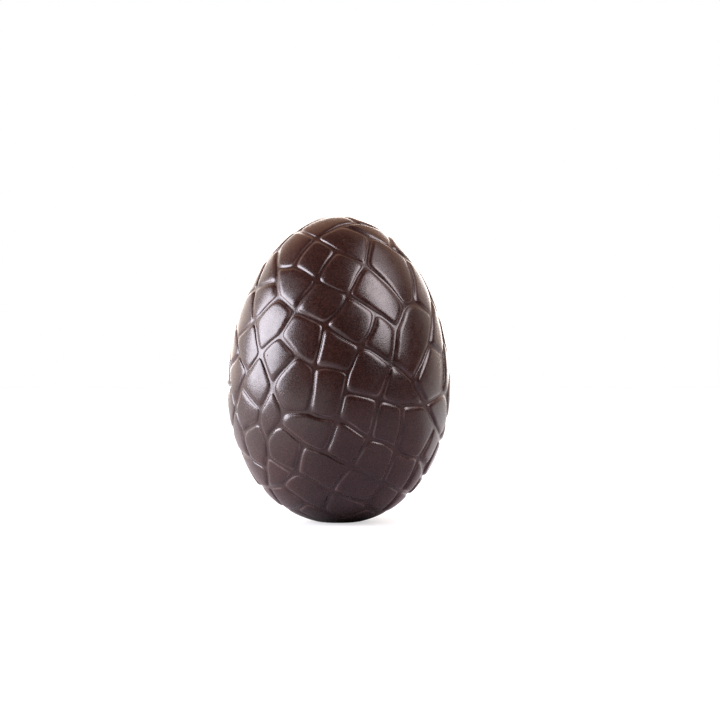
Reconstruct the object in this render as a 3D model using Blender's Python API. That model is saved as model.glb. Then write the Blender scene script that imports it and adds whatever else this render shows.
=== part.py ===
"""A moulded chocolate egg that stands on its broad end.

Its whole surface is laid out like crazy paving: flat-topped cells with
rounded corners, parted by shallow flat-floored grooves. The foot is melted
flat, and the relief fades away around it. Metres, +Z up, origin at the
centre of the flat foot.
"""

import math
import random

import bmesh
import bpy
import numpy as np
from mathutils import Matrix, Vector, noise

# The whole egg
HEIGHT = 0.1200  # standing, foot to tip
WIDTH = 0.0876
FOOT_CUT = 0.00085  # melted away from the broad end
TAPER = 0.0058  # half the drop of the widest ring below mid-length
LENGTH = HEIGHT + FOOT_CUT

# The paving
CELLS = 150
SEED = 8824
TURN = math.radians(130)  # of the whole paving about the egg's axis
SPREAD_STEPS = 10
SQUARE_LIMIT = math.radians(24)  # how far two triangles may be from a square
STRAIGHTEN_STEPS = 2
STRAIGHTEN_SHARE = 0.45
SWAY = 0.0014  # how far the grooves wander
SWAY_LENGTH = 0.012
CORNER_LIMIT = math.radians(150)  # a blunter corner counts as a straight side

# The relief, measured from a groove's centre line
FLOOR_HALF = 0.00065
SHOULDER = 0.0016
ROUNDING = 0.0008
WIDTH_CHANGE = 0.30  # how much wider and narrower the grooves get
WIDTH_CHANGE_LENGTH = 0.011
SMALL_CELL = 0.0032  # a cell less deep than this from side to middle has narrower grooves
GROOVE_DEPTH = 0.00055
CROWN = 0.0002
CROWN_REACH = 0.0050
FADE_FROM = 0.0004  # heights over the foot between which the relief sets in
FADE_TO = 0.0095

CHOCOLATE = (0.024, 0.0085, 0.0062, 1.0)


def egg_field(p):
    """Zero on the egg, positive outside it, with its gradient."""
    z = p[:, 2]
    top = LENGTH**2 - 4 * z**2
    under = LENGTH**2 + 8 * TAPER * z + 4 * TAPER**2
    value = p[:, 0] ** 2 + p[:, 1] ** 2 - WIDTH**2 / 4 * top / under
    rise = WIDTH**2 / 4 * (8 * z * under + 8 * TAPER * top) / under**2
    return value, np.stack([2 * p[:, 0], 2 * p[:, 1], rise], axis=1)


def on_egg(points):
    """The points moved straight onto the egg, and the normals there."""
    p = np.array(points, dtype=float)
    for _ in range(6):
        value, slope = egg_field(p)
        p -= (value / (slope**2).sum(axis=1))[:, None] * slope
    slope = egg_field(p)[1]
    return p, slope / np.linalg.norm(slope, axis=1)[:, None]


def cell_centres():
    """Points scattered on the egg, then pushed apart until they are even."""
    rng = random.Random(SEED)
    half = np.array([WIDTH / 2, WIDTH / 2, LENGTH / 2])
    points = [Vector((rng.gauss(0, 1), rng.gauss(0, 1), rng.gauss(0, 1))) for _ in range(CELLS)]
    points = on_egg([np.array(p.normalized()) * half for p in points])[0]
    area = math.pi * WIDTH * (LENGTH + WIDTH / 2) / 1.5
    reach = math.sqrt(area / CELLS * 2 / math.sqrt(3))
    for _ in range(SPREAD_STEPS):
        gap = points[:, None] - points[None]
        far = np.linalg.norm(gap, axis=2) + np.eye(CELLS)
        push = np.clip(1 - far / reach, 0, None) / far * (1 - np.eye(CELLS))
        points = on_egg(points + reach / 2 * (gap * push[:, :, None]).sum(axis=1))[0]
    return points


def cell_net():
    """One many-sided face for each cell, sharing the groove centre lines."""
    hull = bmesh.new()
    for p in cell_centres():
        hull.verts.new(p)
    bmesh.ops.convex_hull(hull, input=hull.verts[:])
    bmesh.ops.join_triangles(
        hull,
        faces=hull.faces[:],
        angle_face_threshold=math.radians(80),
        angle_shape_threshold=SQUARE_LIMIT,
    )
    hull.verts.index_update()
    hull.faces.index_update()

    net = bmesh.new()
    joints = [net.verts.new(face.calc_center_median()) for face in hull.faces]
    for vert in hull.verts:
        loop = vert.link_loops[0]
        ring = []
        while True:
            ring.append(joints[loop.face.index])
            loop = loop.link_loop_prev.link_loop_radial_next
            if loop == vert.link_loops[0]:
                break
        net.faces.new(ring)
    hull.free()
    bmesh.ops.recalc_face_normals(net, faces=net.faces[:])
    settle(net)

    # Where three grooves meet, the straightest pair runs through.
    for _ in range(STRAIGHTEN_STEPS):
        moved = {vert: through_line(vert) for vert in net.verts if len(vert.link_edges) == 3}
        for vert, place in moved.items():
            vert.co = place
        settle(net)

    bmesh.ops.bisect_edges(net, edges=net.edges[:], cuts=1)
    settle(net)
    noise.seed_set(SEED)
    for vert in net.verts:
        vert.co += SWAY * noise.noise_vector(vert.co / SWAY_LENGTH)
    settle(net)
    bmesh.ops.rotate(net, verts=net.verts[:], matrix=Matrix.Rotation(TURN, 3, "Z"))
    return net


def settle(net):
    """Puts every point of the net back on the egg."""
    for vert, place in zip(net.verts, on_egg([v.co for v in net.verts])[0]):
        vert.co = place


def through_line(vert):
    """The place of a three-way joint, drawn towards its straightest pair."""
    ends = [edge.other_vert(vert).co for edge in vert.link_edges]
    pairs = [(ends[0], ends[1]), (ends[1], ends[2]), (ends[2], ends[0])]
    a, b = max(pairs, key=lambda pair: (pair[0] - vert.co).angle(pair[1] - vert.co))
    along = (vert.co - a).dot(b - a) / (b - a).length_squared
    along = min(max(along, 0.15), 0.85)
    return vert.co.lerp(a.lerp(b, along), STRAIGHTEN_SHARE)


def cell_sides(outline):
    """The closed outline cut at its true corners into sides."""
    count = len(outline)
    corners = []
    for i in range(count):
        back = outline[i - 1] - outline[i]
        ahead = outline[(i + 1) % count] - outline[i]
        turn = back.dot(ahead) / np.linalg.norm(back) / np.linalg.norm(ahead)
        if turn > math.cos(CORNER_LIMIT):
            corners.append(i)
    sides = []
    for start, end in zip(corners, corners[1:] + [corners[0] + count]):
        sides.append(np.array([outline[i % count] for i in range(start, end + 1)]))
    return sides


def groove_distance(points, sides):
    """Distance to the cell's sides, eased where two sides meet."""
    total = np.zeros(len(points))
    for side in sides:
        a, along = side[:-1], np.diff(side, axis=0)
        t = ((points[:, None] - a) * along).sum(axis=2) / (along**2).sum(axis=1)
        foot = a + np.clip(t, 0, 1)[:, :, None] * along
        near = np.linalg.norm(points[:, None] - foot, axis=2).min(axis=1)
        total += np.exp(-near / ROUNDING)
    return -ROUNDING * np.log(total)


def ring_at(level, outline, middle, sides):
    """The points on the lines from outline to middle that lie at this distance from the sides."""
    low, high = np.zeros(len(outline)), np.ones(len(outline))
    for _ in range(24):
        share = (low + high) / 2
        inside = groove_distance(outline + share[:, None] * (middle - outline), sides) > level
        high = np.where(inside, share, high)
        low = np.where(inside, low, share)
    return outline + high[:, None] * (middle - outline)


def relief(distance):
    """Height of the surface against the egg at a distance from the groove line."""
    wall = np.clip((distance - FLOOR_HALF) / (SHOULDER - FLOOR_HALF), 0, 1)
    dome = 1 - (1 - np.clip((distance - SHOULDER) / CROWN_REACH, 0, 1)) ** 2
    return GROOVE_DEPTH * (wall - 1) + CROWN * (dome - 1)


def paved_egg():
    bm = cell_net()
    level = bm.verts.layers.float.new("groove distance")
    cells = bm.faces[:]
    shapes = []
    for face in cells:
        outline = np.array([loop.vert.co for loop in face.loops])
        middle, sides = outline.mean(axis=0), cell_sides(outline)
        deepest = groove_distance(middle[None], sides)[0]
        wide = [noise.noise(loop.vert.co / WIDTH_CHANGE_LENGTH) for loop in face.loops]
        wide = (1 + WIDTH_CHANGE * np.array(wide)) * min(1, deepest / SMALL_CELL)
        shapes.append((wide, outline, middle, sides))
    for distance in (FLOOR_HALF, SHOULDER):
        bmesh.ops.inset_individual(bm, faces=cells, thickness=0.0001)
        for face, (wide, *shape) in zip(cells, shapes):
            for loop, place in zip(face.loops, ring_at(distance * wide, *shape)):
                loop.vert.co = place
                loop.vert[level] = distance
    for vert in bmesh.ops.poke(bm, faces=cells)["verts"]:
        vert[level] = SHOULDER + CROWN_REACH

    # Raised or sunk along the egg's normals, less and less towards the foot
    surface, normals = on_egg([v.co for v in bm.verts])
    height = relief(np.array([v[level] for v in bm.verts]))
    rise = (surface[:, 2] + LENGTH / 2 - FOOT_CUT - FADE_FROM) / (FADE_TO - FADE_FROM)
    rise = np.clip(rise, 0, 1)
    height = height * rise**2 * (3 - 2 * rise)
    for vert, place in zip(bm.verts, surface + normals * height[:, None]):
        vert.co = place

    # Drawn to its full width and length, then melted flat at the foot
    places = np.array([v.co for v in bm.verts])
    low, high = places.min(axis=0), places.max(axis=0)
    full = np.array([WIDTH, WIDTH, LENGTH])
    for vert, place in zip(bm.verts, (places - low) / (high - low)):
        vert.co = (place - 0.5) * full
        vert.co.z += LENGTH / 2 - FOOT_CUT
    bmesh.ops.bisect_plane(
        bm,
        geom=bm.verts[:] + bm.edges[:] + bm.faces[:],
        dist=0.00001,
        plane_co=(0, 0, 0),
        plane_no=(0, 0, -1),
        clear_outer=True,
    )
    bmesh.ops.holes_fill(bm, edges=[e for e in bm.edges if e.is_boundary])
    bmesh.ops.recalc_face_normals(bm, faces=bm.faces[:])
    return bm


for old in list(bpy.data.objects):
    bpy.data.objects.remove(old)

parts = bpy.data.collections.new("chocolate egg")
bpy.context.scene.collection.children.link(parts)

chocolate = bpy.data.materials.new("dark chocolate")
chocolate.use_nodes = True
shader = chocolate.node_tree.nodes["Principled BSDF"]
shader.inputs["Base Color"].default_value = CHOCOLATE
shader.inputs["Roughness"].default_value = 0.3
shader.inputs["Metallic"].default_value = 0.0

egg_mesh = bpy.data.meshes.new("egg")
egg_bm = paved_egg()
egg_bm.to_mesh(egg_mesh)
egg_bm.free()
egg_mesh.shade_smooth()
egg_mesh.set_sharp_from_angle(angle=math.radians(40))
egg_mesh.materials.append(chocolate)
egg = bpy.data.objects.new("egg", egg_mesh)
parts.objects.link(egg)
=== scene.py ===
import math
import random

import bmesh
import bpy
import numpy as np
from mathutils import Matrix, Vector, noise


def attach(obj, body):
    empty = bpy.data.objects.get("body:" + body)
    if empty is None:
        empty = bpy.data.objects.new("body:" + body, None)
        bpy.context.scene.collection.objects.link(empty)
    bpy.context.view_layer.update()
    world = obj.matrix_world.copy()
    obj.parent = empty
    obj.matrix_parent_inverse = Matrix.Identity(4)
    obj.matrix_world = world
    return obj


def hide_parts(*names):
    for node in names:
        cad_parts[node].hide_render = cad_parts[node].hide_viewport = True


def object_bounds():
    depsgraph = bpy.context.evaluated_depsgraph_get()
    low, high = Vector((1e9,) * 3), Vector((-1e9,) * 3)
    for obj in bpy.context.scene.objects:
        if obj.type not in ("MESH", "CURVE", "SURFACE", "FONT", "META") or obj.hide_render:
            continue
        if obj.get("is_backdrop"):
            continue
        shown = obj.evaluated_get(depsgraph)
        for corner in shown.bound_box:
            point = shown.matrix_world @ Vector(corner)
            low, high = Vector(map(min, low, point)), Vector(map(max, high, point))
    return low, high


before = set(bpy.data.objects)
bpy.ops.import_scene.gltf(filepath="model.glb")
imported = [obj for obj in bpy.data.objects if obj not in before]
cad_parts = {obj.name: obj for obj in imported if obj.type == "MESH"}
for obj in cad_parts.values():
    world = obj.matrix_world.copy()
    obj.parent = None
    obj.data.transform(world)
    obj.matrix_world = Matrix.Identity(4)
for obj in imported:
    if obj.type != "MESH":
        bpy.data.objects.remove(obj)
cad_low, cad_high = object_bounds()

# ---------------------------------------------------------------------------
# The egg: dark chocolate cast in a mould whose inside is paved with some 150
# flat cells, parted by shallow grooves. Its broad end was then melted flat on
# a warm plate, so that it stands.
# ---------------------------------------------------------------------------
# The form, an egg with its widest ring below mid-length
HEIGHT = 0.1200
WIDTH = 0.0876
FOOT_CUT = 0.00085
TAPER = 0.0058
LENGTH = HEIGHT + FOOT_CUT

# The paving: cell centres spread evenly, with grooves half-way between them
CELLS = 150
SEED = 8824
TURN = math.radians(130)
SPREAD_STEPS = 10
SQUARE_LIMIT = math.radians(24)
STRAIGHTEN_STEPS = 2
STRAIGHTEN_SHARE = 0.45
STRAIGHTEN_LIMIT = 0.15  # how near an end of a straight pair the third line may meet it
FACE_LIMIT = math.radians(80)  # between two triangles that may become one square
SWAY = 0.0014  # how far the grooves wander
SWAY_LENGTH = 0.012
CORNER_LIMIT = math.radians(150)  # a blunter corner counts as a straight side


def egg_field(p):
    """Zero on the egg, positive outside it, with its gradient."""
    z = p[:, 2]
    top = LENGTH**2 - 4 * z**2
    under = LENGTH**2 + 8 * TAPER * z + 4 * TAPER**2
    value = p[:, 0] ** 2 + p[:, 1] ** 2 - WIDTH**2 / 4 * top / under
    rise = WIDTH**2 / 4 * (8 * z * under + 8 * TAPER * top) / under**2
    return value, np.stack([2 * p[:, 0], 2 * p[:, 1], rise], axis=1)


def on_egg(points):
    """The points moved straight onto the egg, and the normals there."""
    p = np.array(points, dtype=float)
    for _ in range(6):
        value, slope = egg_field(p)
        p -= (value / (slope**2).sum(axis=1))[:, None] * slope
    slope = egg_field(p)[1]
    return p, slope / np.linalg.norm(slope, axis=1)[:, None]


def cell_centres():
    """Points scattered on the egg, then pushed apart until they are even."""
    rng = random.Random(SEED)
    half = np.array([WIDTH / 2, WIDTH / 2, LENGTH / 2])
    points = [Vector((rng.gauss(0, 1), rng.gauss(0, 1), rng.gauss(0, 1))) for _ in range(CELLS)]
    points = on_egg([np.array(p.normalized()) * half for p in points])[0]
    area = math.pi * WIDTH * (LENGTH + WIDTH / 2) / 1.5
    reach = math.sqrt(area / CELLS * 2 / math.sqrt(3))
    for _ in range(SPREAD_STEPS):
        gap = points[:, None] - points[None]
        far = np.linalg.norm(gap, axis=2) + np.eye(CELLS)
        push = np.clip(1 - far / reach, 0, None) / far * (1 - np.eye(CELLS))
        points = on_egg(points + reach / 2 * (gap * push[:, :, None]).sum(axis=1))[0]
    return points


def through_line(vert):
    """The place of a three-way joint, drawn towards its straightest pair."""
    ends = [edge.other_vert(vert).co for edge in vert.link_edges]
    pairs = [(ends[0], ends[1]), (ends[1], ends[2]), (ends[2], ends[0])]
    a, b = max(pairs, key=lambda pair: (pair[0] - vert.co).angle(pair[1] - vert.co))
    along = (vert.co - a).dot(b - a) / (b - a).length_squared
    along = min(max(along, STRAIGHTEN_LIMIT), 1 - STRAIGHTEN_LIMIT)
    return vert.co.lerp(a.lerp(b, along), STRAIGHTEN_SHARE)


def settle(net):
    """Puts every point of the net back on the egg."""
    for vert, place in zip(net.verts, on_egg([v.co for v in net.verts])[0]):
        vert.co = place


def cell_net():
    """The joints of the grooves, and each cell as a ring of joints."""
    hull = bmesh.new()
    for p in cell_centres():
        hull.verts.new(p)
    bmesh.ops.convex_hull(hull, input=hull.verts[:])
    bmesh.ops.join_triangles(
        hull,
        faces=hull.faces[:],
        angle_face_threshold=FACE_LIMIT,
        angle_shape_threshold=SQUARE_LIMIT,
    )
    hull.verts.index_update()
    hull.faces.index_update()
    net = bmesh.new()
    joints = [net.verts.new(face.calc_center_median()) for face in hull.faces]
    for vert in hull.verts:
        loop = vert.link_loops[0]
        ring = []
        while True:
            ring.append(joints[loop.face.index])
            loop = loop.link_loop_prev.link_loop_radial_next
            if loop == vert.link_loops[0]:
                break
        net.faces.new(ring)
    hull.free()
    bmesh.ops.recalc_face_normals(net, faces=net.faces[:])
    settle(net)
    for _ in range(STRAIGHTEN_STEPS):
        moved = {vert: through_line(vert) for vert in net.verts if len(vert.link_edges) == 3}
        for vert, place in moved.items():
            vert.co = place
        settle(net)
    net.verts.index_update()
    places = np.array([v.co for v in net.verts])
    rings = [[loop.vert.index for loop in face.loops] for face in net.faces]
    net.free()
    return places, rings


# The skin: each cell is ringed inwards from its groove line, closely at the walls
# and loosely on the flat top. The rings remember how far from the groove they lie.
ROUNDING = 0.0008
WIDTH_CHANGE = 0.30  # how much wider and narrower the grooves get
WIDTH_CHANGE_LENGTH = 0.011
WIDTH_CHANGE_REACH = 0.0013  # rings farther in than this move no more than it does
STEP_ALONG = 0.00115
CROWDING = 0.35  # how much closer the steps are near the joints
RINGS = (0.0003, 0.00044, 0.00056, 0.00068, 0.0008, 0.00093, 0.00115, 0.0015, 0.002, 0.0026)
INNER_SHARES = (0.28, 0.55, 0.80)
SMALL_CELL = 0.0032  # a cell less deep than this from side to middle has narrower grooves
DEEPEST_SHARE = 0.96


def groove_distance(points, sides):
    """Distance to the cell's sides, eased where two sides meet."""
    total = np.zeros(len(points))
    for side in sides:
        a, along = side[:-1], np.diff(side, axis=0)
        t = ((points[:, None] - a) * along).sum(axis=2) / (along**2).sum(axis=1)
        foot = a + np.clip(t, 0, 1)[:, :, None] * along
        near = np.linalg.norm(points[:, None] - foot, axis=2).min(axis=1)
        total += np.exp(-near / ROUNDING)
    return -ROUNDING * np.log(total)


def ring_at(level, outline, middle, sides):
    """The points on the lines from outline to middle that lie at this distance from the sides."""
    low, high = np.zeros(len(outline)), np.ones(len(outline))
    for _ in range(14):
        share = (low + high) / 2
        inside = groove_distance(outline + share[:, None] * (middle - outline), sides) > level
        high = np.where(inside, share, high)
        low = np.where(inside, low, share)
    return outline + ((low + high) / 2)[:, None] * (middle - outline)


def swayed(points):
    """The points put on the egg, drifted a little and turned with the whole paving."""
    points = on_egg(points)[0]
    drift = [SWAY * noise.noise_vector(Vector(p) / SWAY_LENGTH) for p in points]
    points = on_egg(points + np.array(drift))[0]
    c, s = math.cos(TURN), math.sin(TURN)
    return points @ np.array([[c, s, 0], [-s, c, 0], [0, 0, 1]])


joints, cells = cell_net()
noise.seed_set(SEED)
places = [np.array(p) for p in swayed(joints)]
groove_runs = {}
for ring in cells:
    for a, b in zip(ring, ring[1:] + ring[:1]):
        key = (min(a, b), max(a, b))
        if key in groove_runs:
            continue
        ends = joints[key[0]], joints[key[1]]
        count = 2 * max(2, round(np.linalg.norm(ends[1] - ends[0]) / STEP_ALONG / 2))
        share = np.linspace(0, 1, count + 1)[1:-1]
        share = share + CROWDING * (3 * share**2 - 2 * share**3 - share)
        run = swayed(ends[0] + share[:, None] * (ends[1] - ends[0]))
        groove_runs[key] = list(range(len(places), len(places) + len(run)))
        places.extend(run)

distances = [0.0] * len(places)
leans = [0.0] * len(places)
faces = []
rng = random.Random(SEED)
for ring in cells:
    border, sides, corner_at = [], [], []
    count = len(ring)
    for i in range(count):
        a, b = ring[i], ring[(i + 1) % count]
        run = groove_runs[(min(a, b), max(a, b))]
        border += [a] + (run if a < b else run[::-1])
        before = ring[i - 1]
        back_run = groove_runs[(min(a, before), max(a, before))]
        ahead = places[run[len(run) // 2]] - places[a]
        back = places[back_run[len(back_run) // 2]] - places[a]
        turn = ahead.dot(back) / np.linalg.norm(ahead) / np.linalg.norm(back)
        if turn > math.cos(CORNER_LIMIT):
            corner_at.append(border.index(a))
    outline = np.array([places[i] for i in border])
    for start, end in zip(corner_at, corner_at[1:] + [corner_at[0] + len(border)]):
        sides.append(np.array([outline[i % len(border)] for i in range(start, end + 1)]))
    middle = on_egg(np.array([outline.mean(axis=0)]))[0][0]
    deepest = groove_distance(np.array([middle]), sides)[0]
    lean_way = Vector((rng.gauss(0, 1), rng.gauss(0, 1), rng.gauss(0, 1)))
    change = np.array([WIDTH_CHANGE * noise.noise(Vector(p) / WIDTH_CHANGE_LENGTH) for p in outline])
    levels = [level * min(1, deepest / SMALL_CELL) for level in RINGS]
    levels += [levels[-1] + share * (deepest - levels[-1]) for share in INNER_SHARES]
    outer = border
    for level in levels:
        inner = list(range(len(places), len(places) + len(border)))
        wanted = level + change * min(level, WIDTH_CHANGE_REACH)
        ring_places = ring_at(np.minimum(wanted, DEEPEST_SHARE * deepest), outline, middle, sides)
        places.extend(ring_places)
        distances += [level] * len(border)
        leans += list((ring_places - middle) @ np.array(lean_way))
        for i in range(len(border)):
            j = (i + 1) % len(border)
            faces.append((outer[i], outer[j], inner[j], inner[i]))
        outer = inner
    tip = len(places)
    places.append(middle)
    distances.append(deepest)
    leans.append(0.0)
    faces += [(outer[i], outer[(i + 1) % len(border)], tip) for i in range(len(border))]

surface, outward = on_egg(np.array(places))
surface[:, 2] += LENGTH / 2 - FOOT_CUT

skin = bpy.data.meshes.new("egg skin")
skin.from_pydata(surface.tolist(), [], faces)
skin.attributes.new("groove_distance", "FLOAT", "POINT").data.foreach_set("value", distances)
skin.attributes.new("lean", "FLOAT", "POINT").data.foreach_set("value", leans)
skin.attributes.new("outward", "FLOAT_VECTOR", "POINT").data.foreach_set("vector", outward.ravel())
egg = bpy.data.objects.new("chocolate_egg", skin)
bpy.context.scene.collection.objects.link(egg)

# Tempered dark chocolate: a satin gloss with faint smears, a fine grain from the mould, a painted
# highlight that makes the groove walls paler in patches, and a few pinhole air bubbles
DEEP_BROWN = (0.0145, 0.0055, 0.0041, 1)
WARM_BROWN = (0.0335, 0.0124, 0.0093, 1)
# a paler brown painted on the groove walls as a highlight
EDGE_HIGHLIGHT_BROWN = (0.095, 0.063, 0.057, 1)
GRAIN_DEPTH = 0.00003
PINHOLE_DEPTH = 0.00012
PINHOLE_PATCHES = 420  # to the metre
PATCHES_WITHOUT = 0.86  # share of the patches that have no pinhole

chocolate = bpy.data.materials.new("dark chocolate")
chocolate.use_nodes = True
nodes, links = chocolate.node_tree.nodes, chocolate.node_tree.links
shader = nodes["Principled BSDF"]
shader.inputs["Metallic"].default_value = 0.0
shader.inputs["IOR"].default_value = 1.5

where = nodes.new("ShaderNodeTexCoord").outputs["Object"]


def noise_at(scale, detail, roughness):
    node = nodes.new("ShaderNodeTexNoise")
    node.inputs["Scale"].default_value = scale
    node.inputs["Detail"].default_value = detail
    node.inputs["Roughness"].default_value = roughness
    links.new(where, node.inputs["Vector"])
    return node.outputs["Fac"]


def spread(value, low, high, to_low, to_high):
    node = nodes.new("ShaderNodeMapRange")
    for name, number in zip(("From Min", "From Max", "To Min", "To Max"), (low, high, to_low, to_high)):
        node.inputs[name].default_value = number
    links.new(value, node.inputs["Value"])
    return node.outputs["Result"]


def joined(operation, first, second):
    node = nodes.new("ShaderNodeMath")
    node.operation = operation
    links.new(first, node.inputs[0])
    links.new(second, node.inputs[1])
    return node.outputs["Value"]


broad = noise_at(70, 3, 0.55)
grain = noise_at(2600, 1.0, 0.5)
smears = noise_at(260, 4, 0.6)
specks = noise_at(1500, 1.0, 0.5)

tone = nodes.new("ShaderNodeMix")
tone.data_type = "RGBA"
tone.inputs["A"].default_value = DEEP_BROWN
tone.inputs["B"].default_value = WARM_BROWN
shade = joined("ADD", spread(broad, 0.35, 0.65, 0.25, 0.65), spread(specks, 0.35, 0.65, -0.4, 0.5))
links.new(shade, tone.inputs["Factor"])

# Painted highlight: the groove walls are painted paler, here more and there less
from_groove = nodes.new("ShaderNodeAttribute")
from_groove.attribute_name = "groove_distance"
inner = spread(from_groove.outputs["Fac"], 0.00045, 0.00075, 0.0, 1.0)
outer = spread(from_groove.outputs["Fac"], 0.00085, 0.00130, 1.0, 0.0)
blotches = spread(noise_at(110, 1, 0.5), 0.44, 0.60, 0.0, 1.0)
highlight_patches = joined("MULTIPLY", spread(smears, 0.38, 0.62, 0.45, 1.0), blotches)
painted_edge_highlight = joined("MULTIPLY", joined("MULTIPLY", inner, outer), highlight_patches)
pale = nodes.new("ShaderNodeMix")
pale.data_type = "RGBA"
pale.inputs["B"].default_value = EDGE_HIGHLIGHT_BROWN
links.new(painted_edge_highlight, pale.inputs["Factor"])
links.new(tone.outputs["Result"], pale.inputs["A"])
links.new(pale.outputs["Result"], shader.inputs["Base Color"])

gloss = joined("ADD", spread(smears, 0.3, 0.7, 0.22, 0.31), spread(grain, 0.35, 0.65, -0.02, 0.03))
links.new(gloss, shader.inputs["Roughness"])

bump = nodes.new("ShaderNodeBump")
bump.inputs["Strength"].default_value = 1.0
bump.inputs["Distance"].default_value = GRAIN_DEPTH
links.new(grain, bump.inputs["Height"])

# Pinholes: in a few of many small patches a shallow dimple at the patch's middle
patches = nodes.new("ShaderNodeTexVoronoi")
patches.inputs["Scale"].default_value = PINHOLE_PATCHES
links.new(where, patches.inputs["Vector"])
chosen = nodes.new("ShaderNodeMath")
chosen.operation = "GREATER_THAN"
chosen.inputs[1].default_value = PATCHES_WITHOUT
patch_colour = nodes.new("ShaderNodeSeparateColor")
links.new(patches.outputs["Color"], patch_colour.inputs["Color"])
links.new(patch_colour.outputs["Red"], chosen.inputs[0])
dimple = spread(patches.outputs["Distance"], 0.05, 0.12, 1.0, 0.0)
dimple = joined("MULTIPLY", dimple, chosen.outputs["Value"])
pinholes = nodes.new("ShaderNodeBump")
pinholes.invert = True
pinholes.inputs["Strength"].default_value = 1.0
pinholes.inputs["Distance"].default_value = PINHOLE_DEPTH
links.new(dimple, pinholes.inputs["Height"])
links.new(bump.outputs["Normal"], pinholes.inputs["Normal"])
links.new(pinholes.outputs["Normal"], shader.inputs["Normal"])

# The relief, as the mould gives it: grooves with a narrow slot along their middle, tops
# with eased edges and a low crown. It dies out around the foot.
relief = bpy.data.node_groups.new("paving relief", "GeometryNodeTree")
relief.is_modifier = True
sockets = {}


def add_input(name, kind, value=None):
    socket = relief.interface.new_socket(name, in_out="INPUT", socket_type=kind)
    if value is not None:
        socket.default_value = value
    sockets[name] = socket.identifier


add_input("Geometry", "NodeSocketGeometry")
add_input("Groove Depth", "NodeSocketFloat", 0.00048)
add_input("Slot Depth", "NodeSocketFloat", 0.00015)
add_input("Slot Half Width", "NodeSocketFloat", 0.00100)
add_input("Depth Change", "NodeSocketFloat", 0.9)
add_input("Depth Change Size", "NodeSocketFloat", 0.018)
add_input("Depth Change Seed", "NodeSocketFloat", 9.0)
add_input("Floor Half Width", "NodeSocketFloat", 0.00042)
add_input("Groove Half Width", "NodeSocketFloat", 0.0021)
add_input("Edge Roundness", "NodeSocketFloat", 1.7)
add_input("Floor Crease", "NodeSocketFloat", 0.00015)
add_input("Crown Height", "NodeSocketFloat", 0.00014)
add_input("Crown Reach", "NodeSocketFloat", 0.0065)
add_input("Lean", "NodeSocketFloat", 0.020)
add_input("Ripple Height", "NodeSocketFloat", 0.00012)
add_input("Ripple Size", "NodeSocketFloat", 0.009)
add_input("Ripple Seed", "NodeSocketFloat", 4.0)
add_input("Foot Start", "NodeSocketFloat", 0.0004)
add_input("Foot End", "NodeSocketFloat", 0.0095)
add_input("Foot Edge", "NodeSocketFloat", 0.0003)
add_input("Chocolate", "NodeSocketMaterial")
relief.interface.new_socket("Geometry", in_out="OUTPUT", socket_type="NodeSocketGeometry")

tree = relief.nodes
given = tree.new("NodeGroupInput").outputs


def field(name, kind):
    node = tree.new("GeometryNodeInputNamedAttribute")
    node.data_type = kind
    node.inputs["Name"].default_value = name
    return node.outputs["Attribute"]


def calc(operation, *values):
    node = tree.new("ShaderNodeMath")
    node.operation = operation
    for socket, value in zip(node.inputs, values):
        if isinstance(value, (int, float)):
            socket.default_value = value
        else:
            relief.links.new(value, socket)
    return node.outputs["Value"]


def eased(value, start, end):
    node = tree.new("ShaderNodeMapRange")
    node.interpolation_type = "SMOOTHSTEP"
    for name, source in (("Value", value), ("From Min", start), ("From Max", end)):
        if isinstance(source, (int, float)):
            node.inputs[name].default_value = source
        else:
            relief.links.new(source, node.inputs[name])
    return node.outputs["Result"]


distance = field("groove_distance", "FLOAT")
position = tree.new("GeometryNodeInputPosition").outputs["Position"]
split = tree.new("ShaderNodeSeparateXYZ")
relief.links.new(position, split.inputs["Vector"])

across = calc("SUBTRACT", given["Groove Half Width"], calc("MINIMUM", distance, given["Groove Half Width"]))
across = calc("DIVIDE", across, calc("SUBTRACT", given["Groove Half Width"], given["Floor Half Width"]))
slope = calc("MULTIPLY", calc("POWER", across, given["Edge Roundness"]), given["Groove Depth"])
groove = calc("SMOOTH_MIN", slope, given["Groove Depth"], given["Floor Crease"])
slot = calc("SUBTRACT", 1.0, eased(distance, given["Floor Half Width"], given["Slot Half Width"]))
groove = calc("ADD", groove, calc("MULTIPLY", slot, given["Slot Depth"]))
crown = calc("MINIMUM", calc("DIVIDE", distance, given["Crown Reach"]), 1.0)
crown = calc("SUBTRACT", 1.0, calc("POWER", calc("SUBTRACT", 1.0, crown), 2.0))

ripple = tree.new("ShaderNodeTexNoise")
ripple.noise_dimensions = "4D"
ripple.inputs["Detail"].default_value = 1.0
relief.links.new(position, ripple.inputs["Vector"])
relief.links.new(given["Ripple Seed"], ripple.inputs["W"])
relief.links.new(calc("DIVIDE", 1.0, given["Ripple Size"]), ripple.inputs["Scale"])

depth_noise = tree.new("ShaderNodeTexNoise")
depth_noise.noise_dimensions = "4D"
depth_noise.inputs["Detail"].default_value = 0.0
relief.links.new(given["Depth Change Seed"], depth_noise.inputs["W"])
relief.links.new(position, depth_noise.inputs["Vector"])
relief.links.new(calc("DIVIDE", 1.0, given["Depth Change Size"]), depth_noise.inputs["Scale"])
depth_change = calc("MULTIPLY", calc("SUBTRACT", depth_noise.outputs["Fac"], 0.5), given["Depth Change"])
groove = calc("MULTIPLY", groove, calc("ADD", depth_change, 1.0))
height = calc("MULTIPLY", calc("SUBTRACT", crown, 1.0), given["Crown Height"])
height = calc("SUBTRACT", height, groove)
ripple_height = calc("MULTIPLY", calc("SUBTRACT", ripple.outputs["Fac"], 0.5), given["Ripple Height"])
height = calc("ADD", height, ripple_height)
lean = calc("MULTIPLY", field("lean", "FLOAT"), given["Lean"])
lean = calc("MULTIPLY", lean, eased(distance, given["Floor Half Width"], given["Groove Half Width"]))
height = calc("ADD", height, lean)
height = calc("MULTIPLY", height, eased(split.outputs["Z"], given["Foot Start"], given["Foot End"]))

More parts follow.
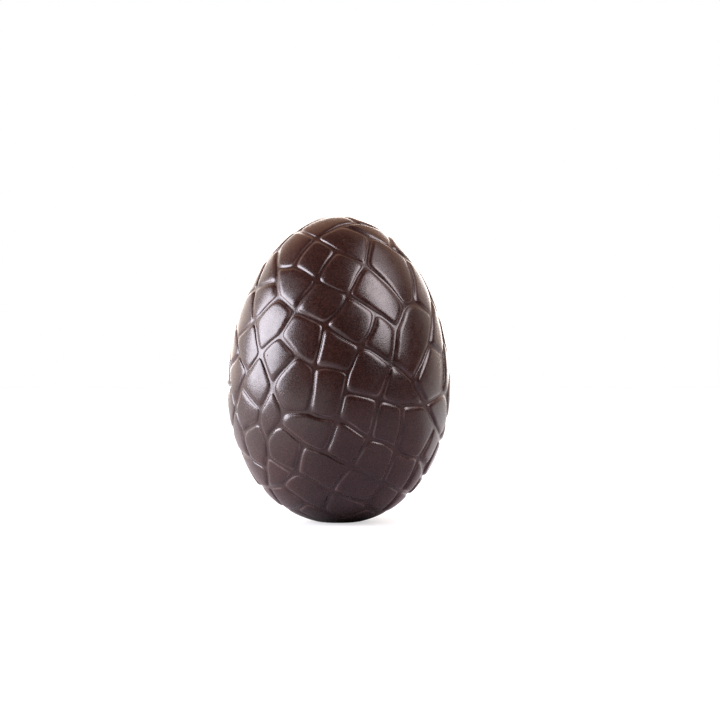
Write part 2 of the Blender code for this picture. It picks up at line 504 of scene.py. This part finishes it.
lift = tree.new("ShaderNodeVectorMath")
lift.operation = "SCALE"
relief.links.new(field("outward", "FLOAT_VECTOR"), lift.inputs["Vector"])
relief.links.new(height, lift.inputs["Scale"])
raised = tree.new("GeometryNodeSetPosition")
relief.links.new(given["Geometry"], raised.inputs["Geometry"])
relief.links.new(lift.outputs["Vector"], raised.inputs["Offset"])

flat_z = calc("SMOOTH_MAX", split.outputs["Z"], 0.0, given["Foot Edge"])
pressed = tree.new("ShaderNodeCombineXYZ")
relief.links.new(split.outputs["X"], pressed.inputs["X"])
relief.links.new(split.outputs["Y"], pressed.inputs["Y"])
relief.links.new(flat_z, pressed.inputs["Z"])
foot = tree.new("GeometryNodeSetPosition")
relief.links.new(raised.outputs["Geometry"], foot.inputs["Geometry"])
relief.links.new(pressed.outputs["Vector"], foot.inputs["Position"])

smooth = tree.new("GeometryNodeSetShadeSmooth")
relief.links.new(foot.outputs["Geometry"], smooth.inputs["Geometry"])
realised = tree.new("GeometryNodeRealizeInstances")
relief.links.new(smooth.outputs["Geometry"], realised.inputs["Geometry"])
dressed = tree.new("GeometryNodeSetMaterial")
relief.links.new(realised.outputs["Geometry"], dressed.inputs["Geometry"])
relief.links.new(given["Chocolate"], dressed.inputs["Material"])
result = tree.new("NodeGroupOutput")
relief.links.new(dressed.outputs["Geometry"], result.inputs["Geometry"])

moulding = egg.modifiers.new("paving relief", "NODES")
moulding.node_group = relief
moulding[sockets["Chocolate"]] = chocolate
graph = bpy.context.evaluated_depsgraph_get()
moulded = bpy.data.meshes.new_from_object(egg.evaluated_get(graph))
egg.modifiers.remove(moulding)
egg.data = moulded

# Drawn to the full width and height of the casting
points = np.empty(len(moulded.vertices) * 3, np.float32)
moulded.vertices.foreach_get("co", points)
points = points.reshape(-1, 3).astype(float)
low, high = points.min(axis=0), points.max(axis=0)
share = (points - low) / (high - low)
points = np.array(cad_low) + share * (np.array(cad_high) - np.array(cad_low))
moulded.vertices.foreach_set("co", points.astype(np.float32).ravel())
moulded.update()

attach(egg, "root")
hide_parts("egg")

# ---------------------------------------------------------------------------
# The studio: a pale paper floor that glows behind and left of the egg, a bright
# backdrop, a warm upper wall, and soft boxes left and right. The room in front
# is dim, and the camera stands level with the egg's middle.
# ---------------------------------------------------------------------------
paper = bpy.data.materials.new("pale paper")
paper.use_nodes = True
nodes, links = paper.node_tree.nodes, paper.node_tree.links
shader = nodes["Principled BSDF"]
shader.inputs["Roughness"].default_value = 0.9
seen = nodes.new("ShaderNodeLightPath").outputs["Is Camera Ray"]
place = nodes.new("ShaderNodeTexCoord").outputs["Object"]
away = nodes.new("ShaderNodeVectorMath")
away.operation = "LENGTH"
links.new(place, away.inputs["Vector"])
away = away.outputs["Value"]
spot = nodes.new("ShaderNodeSeparateXYZ")
links.new(place, spot.inputs["Vector"])


def blend(factor, a, b):
    """One colour turning into another, in the material or world being made."""
    node = nodes.new("ShaderNodeMix")
    node.data_type = "RGBA"
    links.new(factor, node.inputs["Factor"])
    for name, value in (("A", a), ("B", b)):
        if isinstance(value, tuple):
            node.inputs[name].default_value = value
        else:
            links.new(value, node.inputs[name])
    return node.outputs["Result"]


# Painted shadow close to the egg and painted shade far from it, as the egg sees it
outside_painted_shadow = spread(away, 0.010, 0.031, 0.0, 1.0)
outside_painted_shadow.node.interpolation_type = "SMOOTHSTEP"
painted_shade_tint = blend(spread(away, 0.10, 0.40, 0.0, 1.0), (0.42, 0.36, 0.41, 1), (0.13, 0.11, 0.12, 1))
painted_shade_tint = blend(outside_painted_shadow, (0.09, 0.075, 0.08, 1), painted_shade_tint)
links.new(blend(seen, painted_shade_tint, (0.40, 0.40, 0.40, 1)), shader.inputs["Base Color"])

# Painted light: the paper glows as if lit from behind and from the left, most of all on the right behind;
# to the camera it glows all over, and everywhere the glow is dimmer near the egg as painted shade
leftward = spread(spot.outputs["X"], -3, 3, 3, -3)
farther = joined("MAXIMUM", spot.outputs["Y"], leftward)
painted_back_glow = spread(farther, 0.0, 0.09, 0.0, 1.05)
painted_back_glow = joined("MULTIPLY", painted_back_glow, spread(spot.outputs["X"], 0.0, 0.10, 1.0, 2.4))
glow = joined("MULTIPLY", joined("MAXIMUM", seen, painted_back_glow), spread(away, 0.0, 0.35, 0.6, 1.0))
links.new(blend(glow, (0, 0, 0, 1), (0.93, 0.93, 0.93, 1)), shader.inputs["Emission Color"])
shader.inputs["Emission Strength"].default_value = 1.0

floor_mesh = bpy.data.meshes.new("floor")
floor_mesh.from_pydata([(-3, -3, 0), (3, -3, 0), (3, 3, 0), (-3, 3, 0)], [], [(0, 1, 2, 3)])
floor_mesh.materials.append(paper)
floor = bpy.data.objects.new("floor", floor_mesh)
bpy.context.scene.collection.objects.link(floor)
floor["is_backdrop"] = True

world = bpy.data.worlds.new("studio room")
bpy.context.scene.world = world
world.use_nodes = True
nodes, links = world.node_tree.nodes, world.node_tree.links
direction = nodes.new("ShaderNodeSeparateXYZ")
links.new(nodes.new("ShaderNodeTexCoord").outputs["Generated"], direction.inputs["Vector"])


def room_part(source, start, end):
    """How far this part of a direction lies between two values, from 0 to 1."""
    node = nodes.new("ShaderNodeMapRange")
    node.interpolation_type = "SMOOTHSTEP"
    node.inputs["From Min"].default_value = start
    node.inputs["From Max"].default_value = end
    links.new(source, node.inputs["Value"])
    return node.outputs["Result"]


dim = (0.032, 0.027, 0.029, 1)
warm = (1.0, 0.61, 0.44, 1)
wall = blend(room_part(direction.outputs["X"], -0.3, 0.5), (2.5, 2.2, 2.05, 1), (1.12, 0.90, 0.82, 1))
wall = blend(room_part(direction.outputs["Y"], 0.82, 0.97), wall, (7.2, 6.6, 6.2, 1))
wall = blend(room_part(direction.outputs["Z"], 0.36, 0.58), wall, warm)
room = blend(room_part(direction.outputs["Y"], 0.10, 0.70), dim, wall)
ceiling = blend(room_part(direction.outputs["Y"], 0.15, 0.50), dim, (1.0, 0.57, 0.38, 1))
room = blend(room_part(direction.outputs["Z"], 0.75, 0.92), room, ceiling)
seen = nodes.new("ShaderNodeLightPath").outputs["Is Camera Ray"]
links.new(blend(seen, room, (1, 1, 1, 1)), nodes["Background"].inputs["Color"])


def soft_box(name, turn, rise, away, wide, tall, watts, colour):
    """A soft box that faces the egg's middle, turned and raised from the camera's side."""
    light = bpy.data.lights.new(name, "AREA")
    light.shape = "RECTANGLE"
    light.size, light.size_y = wide, tall
    light.energy = watts
    light.color = colour
    box = bpy.data.objects.new(name, light)
    turn, rise = math.radians(turn), math.radians(rise)
    facing = Vector(
        (math.sin(turn) * math.cos(rise), -math.cos(turn) * math.cos(rise), math.sin(rise))
    )
    box.location = Vector((0, 0, 0.06)) + facing * away
    box.rotation_euler = facing.to_track_quat("Z", "Y").to_euler()
    bpy.context.scene.collection.objects.link(box)


soft_box("left soft box", -80, 16, 0.9, 0.74, 0.60, 23.5, (0.93, 0.90, 1.0))
soft_box("right soft box", 59, 36, 0.9, 0.42, 0.60, 8.0, (1.0, 0.90, 0.95))
soft_box("right fill", 78, 52, 1.1, 0.8, 0.6, 3.4, (1.0, 0.84, 0.88))

lens = bpy.data.cameras.new("camera")
lens.lens = 85
lens.sensor_width = 36
camera = bpy.data.objects.new("camera", lens)
camera.location = (0.0083, -0.67, 0.0635)
camera.rotation_euler = (math.radians(90), 0, 0)
bpy.context.scene.collection.objects.link(camera)
bpy.context.scene.camera = camera
bpy.context.scene.view_settings.view_transform = "Standard"

low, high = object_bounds()
